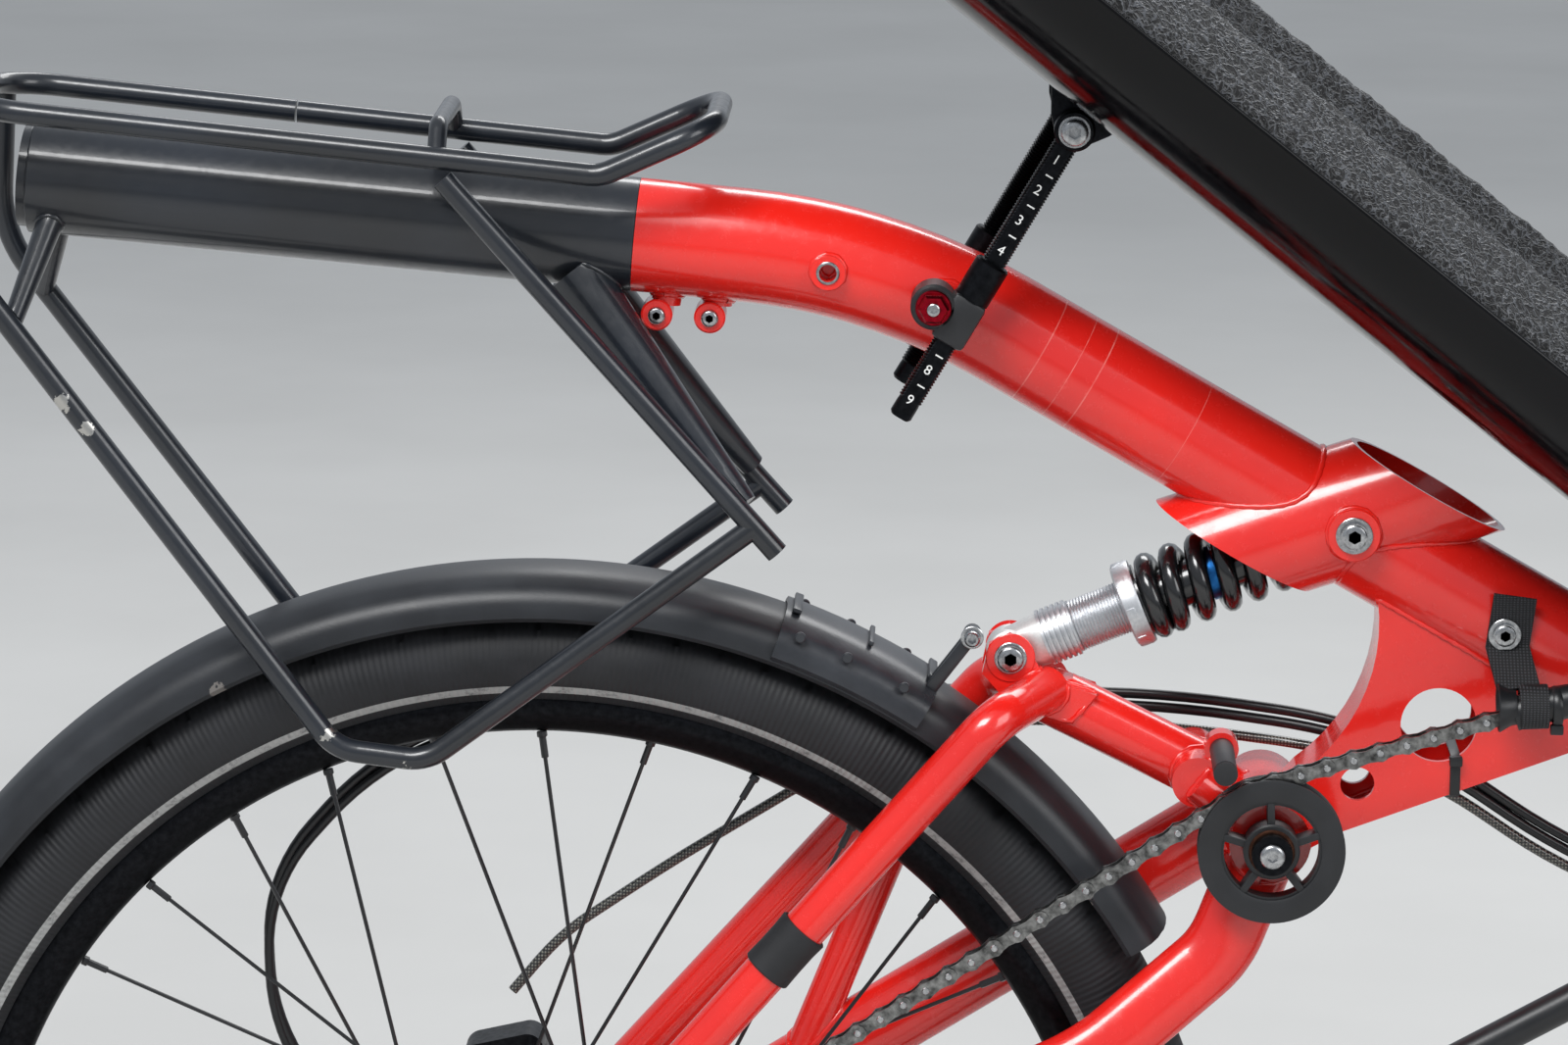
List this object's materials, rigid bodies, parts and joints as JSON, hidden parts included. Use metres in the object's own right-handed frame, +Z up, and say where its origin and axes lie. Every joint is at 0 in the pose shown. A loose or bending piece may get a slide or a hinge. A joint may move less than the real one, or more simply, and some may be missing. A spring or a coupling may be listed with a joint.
{
  "type": "recumbent bicycle",
  "caption": "Recumbent bicycle with rear suspension, under-seat steering, reclined shell seat, rear rack, fenders and disc brakes.",
  "frame": {"origin": "on the seat pad's lowest hollow, in the bicycle's middle plane, where the rider sits", "axes": "+X forward, +Y to the bicycle's left, +Z up"},
  "size_m": [2.0616, 0.6014, 1.099],
  "materials": {
    "red_paint": "gloss",
    "black_paint": "satin",
    "silver_alloy": "satin",
    "black_alloy": "satin anodised",
    "black_steel": "satin",
    "steel": "bright",
    "chain_steel": "oily",
    "tyre": "matte",
    "dark_plastic": "matte",
    "smoky_plastic": "smoky gloss",
    "shell_gloss": "gloss",
    "seat_mesh": "open mesh",
    "tube_plastic": "satin",
    "webbing": "woven",
    "cable_jacket": "satin",
    "grip_rubber": "matte"
  },
  "bodies": {
    "frame": {"main_frame": "red_paint", "boom": "red_paint", "tail_tube": "black_paint", "swingarm": "red_paint", "shock_body": "silver_alloy", "shock_spring": "black_steel", "frame_bolts": "steel", "pivot_bolt": "steel", "chain_peg": "black_paint", "rear_axle_set": "steel", "rear_fender": "dark_plastic", "fender_clip": "smoky_plastic", "rear_calliper": "black_alloy", "rack_rails": "black_paint", "rack_struts": "black_paint", "seat_shell": "shell_gloss", "seat_pad": "seat_mesh", "seat_rods": "black_alloy", "seat_brackets": "black_alloy", "seat_saddle": "black_alloy", "chain": "chain_steel", "chain_tubes": "tube_plastic", "tensioner": "black_alloy", "jockey_wheels": "dark_plastic", "strap": "webbing", "cables": "cable_jacket", "gear_box": "black_alloy", "brake_hose": "cable_jacket"},
    "rear_wheel": {"rear_tyre": "tyre", "rear_rim": "black_alloy", "rear_spokes": "black_steel", "rear_hub": "black_alloy", "rear_disc": "steel", "sprocket": "steel"},
    "idler": {"idler_wheel": "dark_plastic"},
    "fork": {"fork_crown": "black_paint", "fork_lowers": "black_paint", "front_axle_set": "steel", "front_fender": "dark_plastic", "front_calliper": "black_alloy"},
    "front_wheel": {"front_tyre": "tyre", "front_rim": "black_alloy", "front_spokes": "black_steel", "front_hub": "black_alloy", "front_disc": "steel"},
    "bar": {"handlebar": "black_alloy", "grips": "grip_rubber", "brake_levers": "black_alloy"},
    "link": {"tie_rod": "black_alloy"},
    "crankset": {"cranks": "silver_alloy", "chainring": "black_alloy"},
    "left_pedal": {"pedal_left": "black_alloy"},
    "right_pedal": {"pedal_right": "black_alloy"}
  },
  "joints": [
    {"name": "rear_wheel_spin", "type": "hinge", "parent": "frame", "child": "rear_wheel", "pos_m": [-0.612, 0, -0.368], "axis": [0, 1, 0], "continuous": true},
    {"name": "idler_spin", "type": "hinge", "parent": "frame", "child": "idler", "pos_m": [-0.2684, -0.05, -0.1413], "axis": [0, 1, 0], "continuous": true},
    {"name": "steer", "type": "hinge", "parent": "frame", "child": "fork", "pos_m": [0.43996, 0, -0.45836], "axis": [-0.309, 0, 0.9511], "range_deg": [-30, 30]},
    {"name": "front_wheel_spin", "type": "hinge", "parent": "fork", "child": "front_wheel", "pos_m": [0.478, 0, -0.446], "axis": [0, 1, 0], "continuous": true},
    {"name": "bar_swing", "type": "hinge", "parent": "frame", "child": "bar", "pos_m": [0.021, 0, -0.208], "axis": [-0.309, 0, 0.9511], "range_deg": [-30, 30]},
    {"name": "link_swing", "type": "hinge", "parent": "bar", "child": "link", "pos_m": [-0.0218, 0.045, -0.22191], "axis": [-0.309, 0, 0.9511], "range_deg": [-30, 30]},
    {"name": "crank_spin", "type": "hinge", "parent": "frame", "child": "crankset", "pos_m": [0.888, 0, 0.027], "axis": [0, 1, 0], "continuous": true},
    {"name": "left_pedal_spin", "type": "hinge", "parent": "crankset", "child": "left_pedal", "pos_m": [0.718, 0.12, 0.027], "axis": [0, 1, 0], "continuous": true},
    {"name": "right_pedal_spin", "type": "hinge", "parent": "crankset", "child": "right_pedal", "pos_m": [1.058, -0.12, 0.027], "axis": [0, 1, 0], "continuous": true}
  ],
  "couplings": [
    {"joint": "bar_swing", "follows": "steer", "ratio": 1},
    {"joint": "link_swing", "follows": "steer", "ratio": -1}
  ]
}
